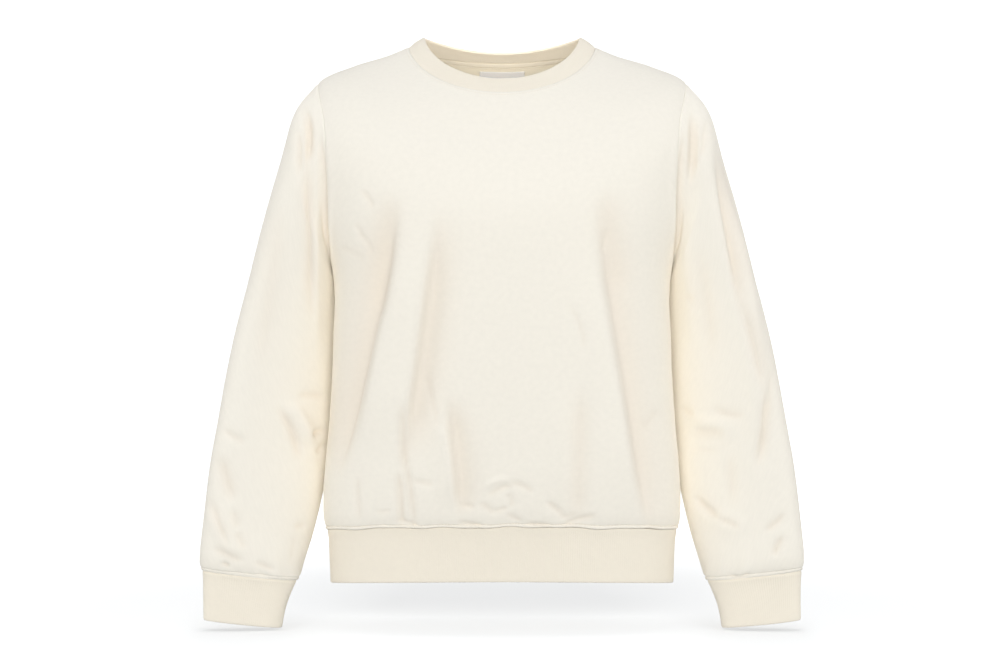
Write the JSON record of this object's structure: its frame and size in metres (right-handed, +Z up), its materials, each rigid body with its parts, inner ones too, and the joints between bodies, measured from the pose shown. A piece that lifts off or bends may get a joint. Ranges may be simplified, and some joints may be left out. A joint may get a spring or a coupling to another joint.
{
  "type": "crewneck sweatshirt",
  "caption": "Hollow long-sleeved crewneck sweatshirt, filled out as worn, with a rib neck, hem band and cuffs, and soft folds down the body and sleeves.",
  "frame": {"origin": "midway between the inner ends of the two shoulder seams, where a wearer's shoulders carry the garment", "axes": "+Z up towards the neck, -Y out of the front, +X to the wearer's left"},
  "size_m": [0.7056, 0.2571, 0.6947],
  "materials": {
    "body_cloth": "matte cream knit",
    "rib_cloth": "matte cream rib knit",
    "tape_cloth": "matte cream woven tape",
    "label_cloth": "smooth bare woven label"
  },
  "bodies": {
    "root": {"front": "body_cloth", "back": "body_cloth", "sleeve_left": "body_cloth", "sleeve_right": "body_cloth", "neck_rib": "rib_cloth", "hem_rib": "rib_cloth", "cuff_left": "rib_cloth", "cuff_right": "rib_cloth", "neck_tape": "tape_cloth", "label": "label_cloth"}
  },
  "joints": []
}
